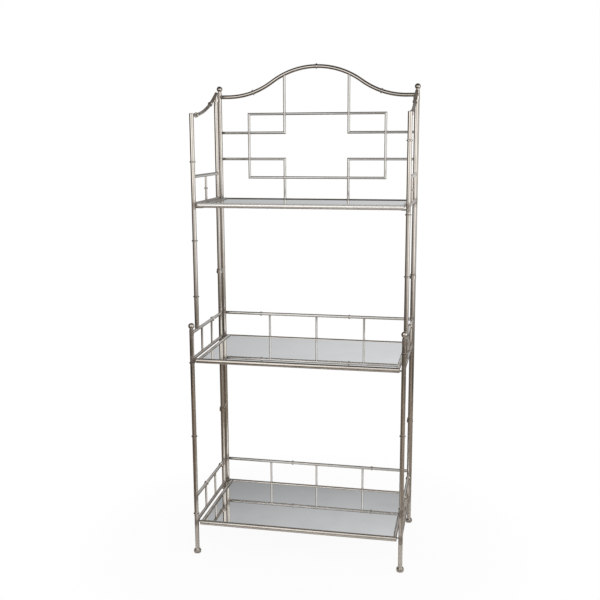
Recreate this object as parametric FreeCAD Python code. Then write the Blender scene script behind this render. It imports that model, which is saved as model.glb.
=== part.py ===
"""Folding bakers rack with three mirrored shelves.

Millimetres. +Z is up and the front faces -Y. The origin is on the floor, under the middle of the rack.
"""
import FreeCAD, Part
import math
import os

V = FreeCAD.Vector

# Overall layout
POST_SPACING = 763.0  # between the centres of the back posts
PANEL_DEPTH = 362.0  # side panel, from its rear post to its lower front post
UPPER_PANEL_DEPTH = 298.0  # side panel, from its rear post to its upper front post
HINGE_OFFSET = 52.0  # rear post of a side panel, in front of the back post
LOWER_SHELF_Z = 122.5  # middle of the lower shelf's tubes
LOWER_BAY = 625.0  # lower shelf to middle shelf
UPPER_BAY = 555.0  # middle shelf to upper shelf
HEAD_RISE = 391.0  # upper shelf to the ends of the arch
ARCH_RISE = 110.0  # ends of the arch to its crown
ARCH_STUB = 36.5  # straight part at each end of the arch

# Tubes and rods
POST_D = 16.0
ARCH_D = 15.0
BACK_RAIL_D = 15.0
RAIL_D = 12.0
FRET_D = 10.0
FRET_FRAME_D = 9.6
SPINDLE_D = 8.0
CAP_CHAMFER = 1.5  # on the open end of a post

# Fret, about a level line above the upper shelf
FRET_RISE = 205.0  # upper shelf to the fret's middle line
FRET_FRAME_W = 531.0
FRET_FRAME_H = 242.0
FRET_UPRIGHT_SPACING = 249.0
FRET_BAR_GAP = 100.0  # between the upper and the lower level bars

# Back rails and galleries
BACK_RAIL_DROP = 3.7  # back rail below the shelf's middle
BACK_GALLERY_RISE = 95.0  # shelf to the gallery rail at the back
SIDE_GALLERY_RISE = 101.0  # shelf to the gallery rail at the sides
SIDE_RAIL_RISE = 4.0  # shelf to the side panel's rail beside it

# Side panels
SCROLL_FRONT_RISE = 314.0  # upper shelf to the front end of the curved top rail
SCROLL_REAR_RISE = 8.0  # ends of the arch to the curved rail where it meets the rear post
SCROLL_OVERRUN = 6.0  # curved rail past the middle of the rear post
REAR_POST_COPE = 4.0  # top of the rear post below the curved rail's middle
REAR_POST_DROP = 20.0  # rear post below the lower shelf
POST_SADDLE = 4.0  # upper front post begins this far above its rail's middle

# Finials and feet
BACK_POST_RISE = 17.0  # ends of the arch to the top of the back post
FRONT_POST_RISE = 13.0  # side gallery rail to the top of the lower front post
FINIAL_BALL_D = 22.5
FINIAL_NECK_D = 13.0
FINIAL_BALL_RISE = 13.0  # top of the post to the ball's centre
FOOT_D = 28.0
FOOT_H = 13.5

# Bamboo-style rings
RING_HALF_H = 3.0
RING_SHOULDER = 1.0
RING_RISE = 3.0
RING_LAND = 2.4

# Hinges
HINGE_CLEARANCE = 0.08  # post in its eye, on the radius
EYE_D = 24.0
EYE_H = 12.0
EYE_ARM_T = 6.0
COLLAR_GAP = 0.4  # ring above its eye
LOWER_EYE_RISE = 325.0  # lower shelf to the lowest eye
MIDDLE_EYE_RISE = 270.0  # middle shelf to the eye above it
TOP_EYE_DROP = 14.0  # top eye below the ends of the arch
PIVOT_OFFSET = 20.0  # shelf pivot in front of the back plane
PIN_D = 8.0
PIN_CLEARANCE = 0.05
PIN_OVERRUN = 1.5  # pin past the outside of its lug
LUG_D = 15.0
LUG_W = 10.0
LUG_WEB_H = 9.0

# Shelves
SHELF_GAP = 6.5  # shelf frame to the front posts
SHELF_D = 18.0  # front tube
SHELF_SIDE_D = 12.0
SHELF_TAIL = 8.0  # side tube behind the pivot
LEDGE_W = 13.0
LEDGE_T = 2.5
LEDGE_TUCK = 2.5  # ledge bar, from the side tube's middle
MIRROR_T = 4.0
MIRROR_RISE = 0.5  # mirror face above the middle of the tubes
MIRROR_GAP = 0.7  # pane to the tubes
MIRROR_EDGE = 1.8  # ground edge of the pane
PEG_D = 6.5
PEG_REACH = 25.5  # peg's tip from the middle of its rail
PEG_SETBACK = 28.0  # peg behind the shelf's front tube
PEG_GAP = 0.3  # peg to the shelf's side tube

# Derived positions
HALF = POST_SPACING / 2
BACK_Y = (HINGE_OFFSET + PANEL_DEPTH) / 2
REAR_Y = BACK_Y - HINGE_OFFSET
FRONT_Y = REAR_Y - PANEL_DEPTH
UPPER_FRONT_Y = REAR_Y - UPPER_PANEL_DEPTH
PIVOT_Y = BACK_Y - PIVOT_OFFSET
MIDDLE_SHELF_Z = LOWER_SHELF_Z + LOWER_BAY
UPPER_SHELF_Z = MIDDLE_SHELF_Z + UPPER_BAY
SHELF_HEIGHTS = (LOWER_SHELF_Z, MIDDLE_SHELF_Z, UPPER_SHELF_Z)
ARCH_END_Z = UPPER_SHELF_Z + HEAD_RISE
FRET_Z = UPPER_SHELF_Z + FRET_RISE
BACK_POST_TOP = ARCH_END_Z + BACK_POST_RISE
SCROLL_FRONT_Z = UPPER_SHELF_Z + SCROLL_FRONT_RISE
SCROLL_REAR_Z = ARCH_END_Z + SCROLL_REAR_RISE
FRONT_POST_TOP = MIDDLE_SHELF_Z + SIDE_GALLERY_RISE + FRONT_POST_RISE
BACK_SPINDLE_PITCH = POST_SPACING / 4
EYE_HEIGHTS = (LOWER_SHELF_Z + LOWER_EYE_RISE, MIDDLE_SHELF_Z + MIDDLE_EYE_RISE, ARCH_END_Z - TOP_EYE_DROP)
SHELF_HALF = HALF - POST_D / 2 - SHELF_GAP
SHELF_SIDE_X = SHELF_HALF - SHELF_SIDE_D / 2

# Rings: heights on the front posts, and places on the rails
LEFT_UPPER_RINGS = (MIDDLE_SHELF_Z + 223.0, MIDDLE_SHELF_Z + 427.0, UPPER_SHELF_Z + 153.0)
LEFT_LOWER_RINGS = (LOWER_SHELF_Z + 34.0, LOWER_SHELF_Z + 337.0, MIDDLE_SHELF_Z - 9.0)
RIGHT_UPPER_RINGS = (MIDDLE_SHELF_Z + 317.0, UPPER_SHELF_Z - 24.0, UPPER_SHELF_Z + 225.0)
RIGHT_LOWER_RINGS = (LOWER_SHELF_Z + 117.0, LOWER_SHELF_Z + 388.0, MIDDLE_SHELF_Z + 59.0)
SCROLL_RINGS = (0.175, 0.752)  # share of the upper panel's depth, from the front post
MIDDLE_SIDE_RINGS = (0.304,)  # share of the panel's depth, from the rear post
LOWER_SIDE_RINGS = (0.116, 0.641)
SPINDLE_RING_RISE = 52.0  # upper shelf to the ring on its side spindle
ARCH_RINGS = (-0.65, 0.0, 0.65)  # share of half the width
MIDDLE_BACK_RINGS = (-1.19, 0.69)  # in spindle spacings from the middle
LOWER_BACK_RINGS = (-0.525, 1.195)


def rod(start, end, diameter):
    """Round rod or tube between two points."""
    along = end - start
    return Part.makeCylinder(diameter / 2, along.Length, start, along)


def post(x, y, bottom, top):
    """Upright post with a chamfered top end."""
    r = POST_D / 2
    straight = top - CAP_CHAMFER
    body = Part.makeCylinder(r, straight - bottom, V(x, y, bottom))
    cap = Part.makeCone(r, r - CAP_CHAMFER, CAP_CHAMFER, V(x, y, straight))
    return body.fuse(cap)


def bend(start, centre, axis, angle, diameter):
    """Tube along an arc that begins at start and turns about an axis through centre."""
    heading = axis.cross(start - centre)
    disc = Part.Face(Part.Wire(Part.makeCircle(diameter / 2, start, heading)))
    return disc.revolve(centre, axis, angle)


def block(point, normal, size):
    """Cube that stands on a plane at a point, on the side the normal points to."""
    cube = Part.makeBox(size, size, size, V(-size / 2, -size / 2, 0))
    cube.Placement = FreeCAD.Placement(point, FreeCAD.Rotation(V(0, 0, 1), normal))
    return cube


def mitred(start, end, diameter, next_at_start=None, next_at_end=None):
    """Rod, mitred at each end where the next rod leaves in the given direction."""
    along = V(end - start)
    along.normalize()
    first = start - along * diameter if next_at_start else start
    last = end + along * diameter if next_at_end else end
    shape = rod(first, last, diameter)
    if next_at_start:
        shape = shape.cut(block(start, next_at_start - along, 4 * diameter))
    if next_at_end:
        shape = shape.cut(block(end, next_at_end + along, 4 * diameter))
    return shape


def turned(edges, base):
    """Solid turned from profile edges in the XZ plane, about the upright axis, then set on a point."""
    face = Part.Face(Part.Wire(edges))
    solid = face.revolve(V(0, 0, 0), V(0, 0, 1), 360)
    solid.translate(base)
    return solid


def lines(*points):
    """Straight edges through (radius, height) points."""
    at = [V(r, 0, z) for r, z in points]
    return [Part.LineSegment(a, b).toShape() for a, b in zip(at, at[1:])]


def finial(x, y, post_top):
    """Ball finial on a short neck."""
    ball_r = FINIAL_BALL_D / 2
    neck_r = FINIAL_NECK_D / 2
    neck_z = FINIAL_BALL_RISE - math.sqrt(ball_r ** 2 - neck_r ** 2)
    top_z = FINIAL_BALL_RISE + ball_r
    edges = lines((0, top_z), (0, 0), (neck_r, 0), (neck_r, neck_z))
    bulge = Part.Arc(V(neck_r, 0, neck_z), V(ball_r, 0, FINIAL_BALL_RISE), V(0, 0, top_z))
    return turned(edges + [bulge.toShape()], V(x, y, post_top))


def foot(x, y):
    """Bun foot under a post: a ball cut flat at the floor and at the post."""
    flat_r = math.sqrt((FOOT_D ** 2 - FOOT_H ** 2) / 4)
    edges = lines((flat_r, FOOT_H), (0, FOOT_H), (0, 0), (flat_r, 0))
    bulge = Part.Arc(V(flat_r, 0, 0), V(FOOT_D / 2, 0, FOOT_H / 2), V(flat_r, 0, FOOT_H))
    return turned(edges + [bulge.toShape()], V(x, y, 0))


def ring(centre, axis, tube_d, tube=None):
    """Bamboo-style ring around a tube. A curved tube is given, so that the bore follows it."""
    r = tube_d / 2
    bore = r - RING_SHOULDER if tube else r
    shoulder = r + RING_SHOULDER
    outer = r + RING_RISE
    half_land = RING_LAND / 2
    profile = lines(
        (bore, -RING_HALF_H),
        (shoulder, -RING_HALF_H),
        (outer, -half_land),
        (outer, half_land),
        (shoulder, RING_HALF_H),
        (bore, RING_HALF_H),
        (bore, -RING_HALF_H),
    )
    solid = turned(profile, V(0, 0, 0))
    solid.Placement = FreeCAD.Placement(centre, FreeCAD.Rotation(V(0, 0, 1), axis))
    return solid.cut(tube) if tube else solid


def save(node, *shapes):
    """Write the solids of one named piece."""
    solids = [solid for shape in shapes for solid in shape.Solids]
    whole = solids[0] if len(solids) == 1 else Part.makeCompound(solids)
    whole.exportStep("parts/" + node + ".step")


def arch():
    """Top rail: two end bends and a crown of the same radius, with straight ends. Returns it and the radius."""
    reach = HALF - ARCH_STUB
    radius = (reach ** 2 + ARCH_RISE ** 2) / (4 * ARCH_RISE)
    turn = math.acos(1 - ARCH_RISE / (2 * radius))
    crown_z = ARCH_END_Z + ARCH_RISE - radius
    crown_start = V(-radius * math.sin(turn), BACK_Y, crown_z + radius * math.cos(turn))
    shape = bend(crown_start, V(0, BACK_Y, crown_z), V(0, 1, 0), 2 * math.degrees(turn), ARCH_D)
    for side in (-1, 1):
        foot_at = V(side * reach, BACK_Y, ARCH_END_Z)
        centre = V(side * reach, BACK_Y, ARCH_END_Z + radius)
        shape = shape.fuse(bend(foot_at, centre, V(0, side, 0), math.degrees(turn), ARCH_D))
        shape = shape.fuse(rod(foot_at, V(side * HALF, BACK_Y, ARCH_END_Z), ARCH_D))
    return shape, radius


def arch_point(x, radius):
    """Point on the arch's middle line at x, and its direction."""
    reach = HALF - ARCH_STUB
    side = -1 if x < 0 else 1
    if abs(x) <= reach / 2:
        z = ARCH_END_Z + ARCH_RISE - radius + math.sqrt(radius ** 2 - x ** 2)
        slope = -x / math.sqrt(radius ** 2 - x ** 2)
    else:
        off = reach - abs(x)
        z = ARCH_END_Z + radius - math.sqrt(radius ** 2 - off ** 2)
        slope = -side * off / math.sqrt(radius ** 2 - off ** 2)
    return V(x, BACK_Y, z), V(1, 0, slope)


def eye(x, z, back_post):
    """Hinge eye on an arm from the back post, around the side panel's rear post."""
    low = z - EYE_H / 2
    barrel = Part.makeCylinder(EYE_D / 2, EYE_H, V(x, REAR_Y, low))
    arm = Part.makeBox(EYE_ARM_T, HINGE_OFFSET, EYE_H, V(x - EYE_ARM_T / 2, REAR_Y, low))
    bore = Part.makeCylinder(POST_D / 2 + HINGE_CLEARANCE, EYE_H, V(x, REAR_Y, low))
    return barrel.fuse(arm).cut(bore).cut(back_post)


def lug(x, z, back_post, back_rail):
    """Pivot lug in the corner of the back post and the back rail."""
    left = x - LUG_W / 2
    barrel = rod(V(left, PIVOT_Y, z), V(left + LUG_W, PIVOT_Y, z), LUG_D)
    web = Part.makeBox(LUG_W, PIVOT_OFFSET, LUG_WEB_H, V(left, PIVOT_Y, z - LUG_WEB_H / 2))
    bore = rod(V(left, PIVOT_Y, z), V(left + LUG_W, PIVOT_Y, z), PIN_D + 2 * PIN_CLEARANCE)
    return barrel.fuse(web).cut(bore).cut([back_post, back_rail])


def back_panel():
    """Posts, arch, fret, back rails, galleries and hinge fittings."""
    posts = {}
    for side, name in ((-1, "left"), (1, "right")):
        posts[side] = post(side * HALF, BACK_Y, FOOT_H, BACK_POST_TOP)
        save(name + "_back_post", posts[side])
    save("back_finials", *[finial(side * HALF, BACK_Y, BACK_POST_TOP) for side in (-1, 1)])
    save("back_feet", *[foot(side * HALF, BACK_Y) for side in (-1, 1)])
    both = [posts[-1], posts[1]]

    top, radius = arch()
    save("arch_rail", top.cut(both))
    on_arch = [arch_point(share * HALF, radius) for share in ARCH_RINGS]
    save("arch_rings", *[ring(at, along, ARCH_D, top) for at, along in on_arch])

    rails = {}
    for z, name in zip(SHELF_HEIGHTS, ("lower", "middle", "upper")):
        level = z - BACK_RAIL_DROP
        rails[name] = rod(V(-HALF, BACK_Y, level), V(HALF, BACK_Y, level), BACK_RAIL_D).cut(both)
        save(name + "_back_rail", rails[name])

    spindles = []
    rings = []
    galleries = (("lower", LOWER_SHELF_Z, LOWER_BACK_RINGS), ("middle", MIDDLE_SHELF_Z, MIDDLE_BACK_RINGS))
    for name, z, places in galleries:
        level = z + BACK_GALLERY_RISE
        gallery = rod(V(-HALF, BACK_Y, level), V(HALF, BACK_Y, level), RAIL_D).cut(both)
        save(name + "_back_gallery_rail", gallery)
        for step in (-1, 0, 1):
            x = step * BACK_SPINDLE_PITCH
            bar = rod(V(x, BACK_Y, z - BACK_RAIL_DROP), V(x, BACK_Y, level), SPINDLE_D)
            spindles.append(bar.cut([rails[name], gallery]))
        for place in places:
            at = V(place * BACK_SPINDLE_PITCH, BACK_Y, level)
            rings.append(ring(at, V(1, 0, 0), RAIL_D))
    save("back_spindles", *spindles)
    save("back_gallery_rings", *rings)

    fret(posts, top, rails["upper"])
    levels = list(zip(SHELF_HEIGHTS, rails.values()))
    save("shelf_hinge_lugs", *[lug(side * HALF, z, posts[side], rail) for side in (-1, 1) for z, rail in levels])
    for side, name in ((-1, "left"), (1, "right")):
        save(name + "_hinge_eyes", *[eye(side * HALF, z, posts[side]) for z in EYE_HEIGHTS])


def fret(posts, top, upper_rail):
    """Greek-key fret: an upper and a lower L on each side, and a rectangle let in between them."""
    up = V(0, 0, 1)
    high = FRET_Z + FRET_BAR_GAP / 2
    low = FRET_Z - FRET_BAR_GAP / 2
    x = FRET_UPRIGHT_SPACING / 2
    elbows = []
    for side, name in ((-1, "left"), (1, "right")):
        out = V(side, 0, 0)
        corner = V(side * x, BACK_Y, high)
        crown = V(side * x, BACK_Y, ARCH_END_Z + ARCH_RISE)
        upright = mitred(crown, corner, FRET_D, next_at_end=out).cut(top)
        upright = min(upright.Solids, key=lambda solid: solid.BoundBox.ZMin)
        bar = mitred(corner, V(side * HALF, BACK_Y, high), FRET_D, next_at_start=up).cut(posts[side])
        save(name + "_upper_fret", upright, bar)
        elbows += [upright, bar]

        corner = V(side * x, BACK_Y, low)
        base = V(side * x, BACK_Y, UPPER_SHELF_Z - BACK_RAIL_DROP)
        upright = mitred(corner, base, FRET_D, next_at_start=out).cut(upper_rail)
        bar = mitred(corner, V(side * HALF, BACK_Y, low), FRET_D, next_at_start=up * -1).cut(posts[side])
        save(name + "_lower_fret", upright, bar)
        elbows += [upright, bar]

    half_w = FRET_FRAME_W / 2
    half_h = FRET_FRAME_H / 2
    corners = [V(a * half_w, BACK_Y, FRET_Z + b * half_h) for a, b in ((-1, -1), (1, -1), (1, 1), (-1, 1))]
    sides = []
    for i in range(4):
        here, there = corners[i], corners[(i + 1) % 4]
        before = corners[i - 1] - here
        after = corners[(i + 2) % 4] - there
        before.normalize()
        after.normalize()
        sides.append(mitred(here, there, FRET_FRAME_D, before, after).cut(elbows))
    save("fret_rectangle", *sides)


def peg(x, y, shelf_z, rail_z, side):
    """Shelf rest: a bent rod that hangs from a side rail and turns in under the shelf's side tube."""
    peg_z = shelf_z - SHELF_SIDE_D / 2 - PEG_GAP - PEG_D / 2
    corner = V(x, y, peg_z)
    drop = mitred(V(x, y, rail_z), corner, PEG_D, next_at_end=V(-side, 0, 0))
    reach = mitred(corner, V(x - side * PEG_REACH, y, peg_z), PEG_D, next_at_start=V(0, 0, 1))
    return drop.fuse(reach)


def side_panel(side, name, upper_rings, lower_rings):
    """Posts, rails, spindles, rings and pegs of one side panel."""
    x = side * HALF
    rise = SCROLL_REAR_Z - SCROLL_FRONT_Z
    radius = (UPPER_PANEL_DEPTH ** 2 + rise ** 2) / (2 * rise)
    centre = V(x, UPPER_FRONT_Y, SCROLL_FRONT_Z + radius)
    sweep = math.degrees(math.asin((UPPER_PANEL_DEPTH + SCROLL_OVERRUN) / radius))
    scroll = bend(V(x, UPPER_FRONT_Y, SCROLL_FRONT_Z), centre, V(1, 0, 0), sweep, RAIL_D)

    rear_bottom = V(x, REAR_Y, LOWER_SHELF_Z - REAR_POST_DROP)
    rear_top = V(x, REAR_Y, SCROLL_REAR_Z - REAR_POST_COPE)
    rear = rod(rear_bottom, rear_top, POST_D).cut(scroll)
    lower_front = post(x, FRONT_Y, FOOT_H, FRONT_POST_TOP)
    rest_z = MIDDLE_SHELF_Z + SIDE_GALLERY_RISE
    upper_top = SCROLL_FRONT_Z + RAIL_D / 2 + CAP_CHAMFER
    upper_front = post(x, UPPER_FRONT_Y, rest_z + POST_SADDLE, upper_top)

    ends = {"lower": (FRONT_Y, lower_front), "middle": (FRONT_Y, lower_front), "upper": (UPPER_FRONT_Y, upper_front)}
    galleries = {}
    shelf_rails = {}
    spindles = []
    pegs = []
    for z, level in zip(SHELF_HEIGHTS, ("lower", "middle", "upper")):
        front_y, front_post = ends[level]
        high = z + SIDE_GALLERY_RISE
        low = z + SIDE_RAIL_RISE
        galleries[level] = rod(V(x, REAR_Y, high), V(x, front_y, high), RAIL_D).cut([rear, front_post])
        shelf_rails[level] = rod(V(x, REAR_Y, low), V(x, front_y, low), RAIL_D).cut([rear, front_post])
        count = 1 if level == "upper" else 2
        for i in range(count):
            y = REAR_Y + (front_y - REAR_Y) * (i + 1) / (count + 1)
            bar = rod(V(x, y, low), V(x, y, high), SPINDLE_D)
            spindles.append(bar.cut([galleries[level], shelf_rails[level]]))
        pegs.append(peg(x, front_y + PEG_SETBACK, z, low, side).cut(shelf_rails[level]))

    rings = [ring(V(x, UPPER_FRONT_Y, z), V(0, 0, 1), POST_D) for z in upper_rings]
    rings += [ring(V(x, FRONT_Y, z), V(0, 0, 1), POST_D) for z in lower_rings]
    for z in EYE_HEIGHTS[:-1]:
        collar_z = z + EYE_H / 2 + COLLAR_GAP + RING_HALF_H
        rings.append(ring(V(x, REAR_Y, collar_z), V(0, 0, 1), POST_D))
    for share in SCROLL_RINGS:
        reach = share * UPPER_PANEL_DEPTH
        turn = math.asin(reach / radius)
        at = V(x, UPPER_FRONT_Y + reach, SCROLL_FRONT_Z + radius * (1 - math.cos(turn)))
        rings.append(ring(at, V(0, math.cos(turn), math.sin(turn)), RAIL_D, scroll))
    for z, places in ((LOWER_SHELF_Z, LOWER_SIDE_RINGS), (MIDDLE_SHELF_Z, MIDDLE_SIDE_RINGS)):
        for share in places:
            at = V(x, REAR_Y - share * PANEL_DEPTH, z + SIDE_GALLERY_RISE)
            rings.append(ring(at, V(0, 1, 0), RAIL_D))
    spindle_y = (REAR_Y + UPPER_FRONT_Y) / 2
    rings.append(ring(V(x, spindle_y, UPPER_SHELF_Z + SPINDLE_RING_RISE), V(0, 0, 1), SPINDLE_D))

    save(name + "_rear_post", rear)
    save(name + "_lower_front_post", lower_front)
    save(name + "_upper_front_post", upper_front.cut(galleries["middle"]))
    save(name + "_front_finial", finial(x, FRONT_Y, FRONT_POST_TOP))
    save(name + "_front_foot", foot(x, FRONT_Y))
    save(name + "_scroll_rail", scroll.cut(upper_front))
    save(name + "_gallery_rails", *galleries.values())
    save(name + "_shelf_rails", *shelf_rails.values())
    save(name + "_spindles", *spindles)
    save(name + "_rings", *rings)
    save(name + "_pegs", *pegs)


def shelf(name, z, front_y):
    """Front tube with side tubes coped to it, ledge bars, a mirror pane and two pivot pins."""
    front = rod(V(-SHELF_HALF, front_y, z), V(SHELF_HALF, front_y, z), SHELF_D)
    ends = [edge for edge in front.Edges if edge.BoundBox.XLength < CAP_CHAMFER]
    front = front.makeChamfer(CAP_CHAMFER, ends)
    pins = []
    tubes = []
    for side in (-1, 1):
        pin_start = V(side * (SHELF_SIDE_X - SHELF_SIDE_D / 2 + 1), PIVOT_Y, z)
        pin_end = V(side * (HALF + LUG_W / 2 + PIN_OVERRUN), PIVOT_Y, z)
        pins.append(rod(pin_start, pin_end, PIN_D))
        rear_end = V(side * SHELF_SIDE_X, PIVOT_Y + SHELF_TAIL, z)
        corner = V(side * SHELF_SIDE_X, front_y, z)
        tubes.append(rod(corner, rear_end, SHELF_SIDE_D).cut(front))

    top = z + MIRROR_RISE - MIRROR_T
    front_edge = front_y + SHELF_D / 2 + LEDGE_W
    rear_edge = PIVOT_Y + SHELF_TAIL - 1
    reach = SHELF_SIDE_X - LEDGE_TUCK
    inner = SHELF_SIDE_X - SHELF_SIDE_D / 2 - LEDGE_W
    ledge = [
        Part.makeBox(2 * reach, front_edge - front_y, LEDGE_T, V(-reach, front_y, top - LEDGE_T)),
        Part.makeBox(2 * reach, LEDGE_W, LEDGE_T, V(-reach, rear_edge - LEDGE_W, top - LEDGE_T)),
    ]
    for start in (-reach, inner):
        run = rear_edge - LEDGE_W - front_edge
        ledge.append(Part.makeBox(reach - inner, run, LEDGE_T, V(start, front_edge, top - LEDGE_T)))
    ledge = [biggest(bar.cut([front] + tubes + pins)) for bar in ledge]

    pane_x = SHELF_SIDE_X - SHELF_SIDE_D / 2 - MIRROR_GAP
    pane_front = front_y + SHELF_D / 2 + MIRROR_GAP
    pane = Part.makeBox(2 * pane_x, rear_edge - pane_front, MIRROR_T, V(-pane_x, pane_front, top))
    rim = [edge for edge in pane.Edges if edge.BoundBox.ZMin > top + MIRROR_T / 2]
    pane = pane.makeChamfer(MIRROR_EDGE, rim)

    save(name + "_shelf_front_tube", front)
    save(name + "_shelf_side_tubes", *[tube.cut(pins) for tube in tubes])
    save(name + "_shelf_ledge", *ledge)
    save(name + "_shelf_mirror", pane)
    save(name + "_shelf_pins", *pins)


def biggest(shape):
    """The largest solid of a shape."""
    return max(shape.Solids, key=lambda solid: solid.Volume)


os.makedirs("parts", exist_ok=True)
back_panel()
side_panel(-1, "left", LEFT_UPPER_RINGS, LEFT_LOWER_RINGS)
side_panel(1, "right", RIGHT_UPPER_RINGS, RIGHT_LOWER_RINGS)
shelf("lower", LOWER_SHELF_Z, FRONT_Y)
shelf("middle", MIDDLE_SHELF_Z, FRONT_Y)
shelf("upper", UPPER_SHELF_Z, UPPER_FRONT_Y)
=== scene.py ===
"""Finishes, brazed joints, studio and camera for a folding bakers rack with mirrored shelves."""
import math

import bpy
from mathutils import Matrix, Vector


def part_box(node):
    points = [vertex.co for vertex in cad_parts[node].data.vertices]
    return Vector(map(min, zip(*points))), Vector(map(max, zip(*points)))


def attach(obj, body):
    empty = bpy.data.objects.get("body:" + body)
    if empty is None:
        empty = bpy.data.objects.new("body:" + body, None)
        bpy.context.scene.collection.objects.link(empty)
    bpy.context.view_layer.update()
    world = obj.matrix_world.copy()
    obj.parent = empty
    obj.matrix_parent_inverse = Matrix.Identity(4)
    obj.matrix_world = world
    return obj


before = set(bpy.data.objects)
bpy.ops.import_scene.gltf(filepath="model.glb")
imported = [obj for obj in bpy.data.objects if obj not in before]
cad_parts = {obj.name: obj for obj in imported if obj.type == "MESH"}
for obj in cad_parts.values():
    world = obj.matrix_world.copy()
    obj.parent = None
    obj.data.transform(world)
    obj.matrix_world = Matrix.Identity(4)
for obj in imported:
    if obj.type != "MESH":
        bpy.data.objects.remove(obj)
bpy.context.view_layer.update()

bl_info = {
    "name": "Bakers Rack",
    "version": (1, 0, 0),
    "blender": (4, 5, 0),
    "location": "View3D > Sidebar > Bakers Rack",
    "description": "Antique silver finish, brazed joints, mirror panes and a studio for a bakers rack",
    "category": "Object",
}

SIDES = {"left": -1, "right": 1}
SHELVES = ("lower", "middle", "upper")
GALLERIES = ("lower", "middle")  # shelves with a gallery rail behind them


def middle(node):
    """Middle point of a node."""
    low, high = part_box(node)
    return (low + high) / 2


# Radii of the rods
POST_R = 0.008
BACK_RAIL_R = 0.0075
RAIL_R = 0.006
FRET_R = 0.005
FRET_FRAME_R = 0.0048
SPINDLE_R = 0.004
PEG_R = 0.00325

# Middle lines of the posts and rails
HALF = middle("right_back_post").x
BACK_Y = middle("right_back_post").y
REAR_Y = middle("right_rear_post").y
FRONT_Y = middle("right_lower_front_post").y
UPPER_FRONT_Y = middle("right_upper_front_post").y
FRONT_END = {"lower": FRONT_Y, "middle": FRONT_Y, "upper": UPPER_FRONT_Y}
SHELF_Z = {name: middle(name + "_shelf_front_tube").z for name in SHELVES}
BACK_RAIL_Z = {name: middle(name + "_back_rail").z for name in SHELVES}
BACK_GALLERY_Z = {name: middle(name + "_back_gallery_rail").z for name in GALLERIES}
ARCH_END_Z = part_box("arch_rail")[0].z + BACK_RAIL_R
SIDE_GALLERY_RISE = 0.101  # shelf to the gallery rail above it
SIDE_RAIL_RISE = 0.004  # shelf to the rail beside it
PEG_SETBACK = 0.028  # front post to the shelf rest behind it


def named(names, *tails):
    """Node names: each name with each tail."""
    return [name + tail for name in names for tail in tails]


# Nodes of each finish
UPRIGHT_NODES = named(SIDES, "_back_post", "_rear_post", "_lower_front_post", "_upper_front_post",
                      "_spindles")
CROSS_NODES = ["arch_rail", "lower_shelf_front_tube", "middle_shelf_front_tube"]
CROSS_NODES += named(SHELVES, "_back_rail", "_shelf_ledge")
# Upper shelf's front tube: a paler copy of the leaf, a painted highlight
PAINTED_HIGHLIGHT_NODES = ["upper_shelf_front_tube"]
SIDE_NODES = named(SIDES, "_gallery_rails", "_shelf_rails")
SHELF_SIDE_NODES = named(SHELVES, "_shelf_side_tubes")
SCROLL_NODES = named(SIDES, "_scroll_rail")
FRET_NODES = ["fret_rectangle", "back_spindles"]
FRET_NODES += named(SIDES, "_upper_fret", "_lower_fret") + named(GALLERIES, "_back_gallery_rail")
TURNED_NODES = ["back_finials", "back_feet", "arch_rings", "back_gallery_rings", "shelf_hinge_lugs"]
TURNED_NODES += named(SIDES, "_hinge_eyes", "_front_finial", "_front_foot", "_rings", "_pegs")
MIRROR_NODES = named(SHELVES, "_shelf_mirror")
PIN_NODES = named(SHELVES, "_shelf_pins")

# Fine brushing: noise scales along X, Y and Z, lowest along the rod
BRUSHED_ACROSS = (40.0, 900.0, 900.0)
BRUSHED_BACK = (900.0, 40.0, 900.0)
BRUSHED_UP = (900.0, 900.0, 40.0)
FRET_BRUSHING = (420.0, 420.0, 420.0)
TURNED_BRUSHING = (300.0, 300.0, 900.0)
BRAZE_BRUSHING = (500.0, 500.0, 500.0)
PIN_BRUSHING = (60.0, 1200.0, 1200.0)

WHITE = (1.0, 1.0, 1.0, 1.0)


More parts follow.
